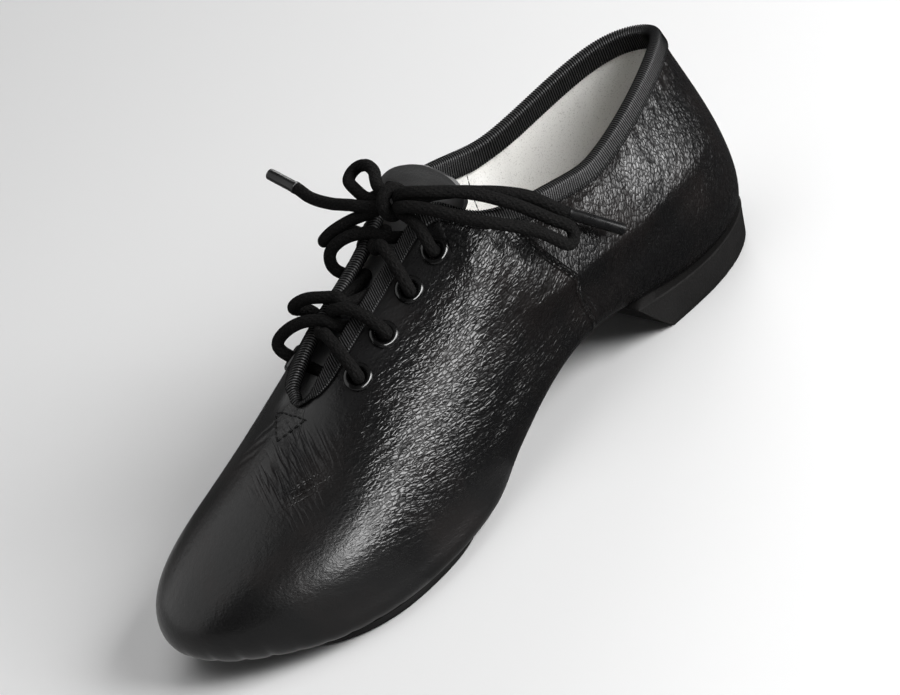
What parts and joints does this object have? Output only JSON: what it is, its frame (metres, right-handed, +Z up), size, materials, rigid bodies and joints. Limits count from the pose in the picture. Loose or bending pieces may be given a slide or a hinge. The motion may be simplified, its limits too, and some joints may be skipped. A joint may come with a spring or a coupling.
{
  "type": "dance shoe",
  "caption": "Left split-sole lace-up jazz dance shoe: soft black leather upper with ribbon-bound collar and throat, low heel block and round rubber forefoot pad.",
  "frame": {"origin": "middle of the shoe's footprint on the floor, the lace's bow left out", "axes": "+X towards the toe, +Y towards the outer (lateral) side, +Z up"},
  "size_m": [0.239, 0.0968, 0.0952],
  "materials": {
    "upper_leather": "satin, fine pebble grain",
    "insole_board": "matte",
    "heel_rubber": "matte, fine texture",
    "forefoot_rubber": "matte, fine tread",
    "tongue_leather": "matte",
    "ribbon": "ribbed, matte",
    "enamel": "gloss enamel",
    "lace": "matte cotton",
    "lace_tip": "gloss"
  },
  "bodies": {
    "root": {"upper": "upper_leather", "insole": "insole_board", "heel": "heel_rubber", "forefoot_sole": "forefoot_rubber", "tongue": "tongue_leather", "binding": "ribbon", "eyelet_lat_1": "enamel", "eyelet_lat_2": "enamel", "eyelet_lat_3": "enamel", "eyelet_lat_4": "enamel", "eyelet_med_1": "enamel", "eyelet_med_2": "enamel", "eyelet_med_3": "enamel", "eyelet_med_4": "enamel", "lace_cross_1": "lace", "lace_cross_2": "lace", "lace_cross_3": "lace", "lace_cross_4": "lace", "lace_knot": "lace", "lace_loop_lat": "lace", "lace_loop_med": "lace", "lace_end_lat": "lace", "lace_end_med": "lace", "aglet_lat": "lace_tip", "aglet_med": "lace_tip"}
  },
  "joints": []
}
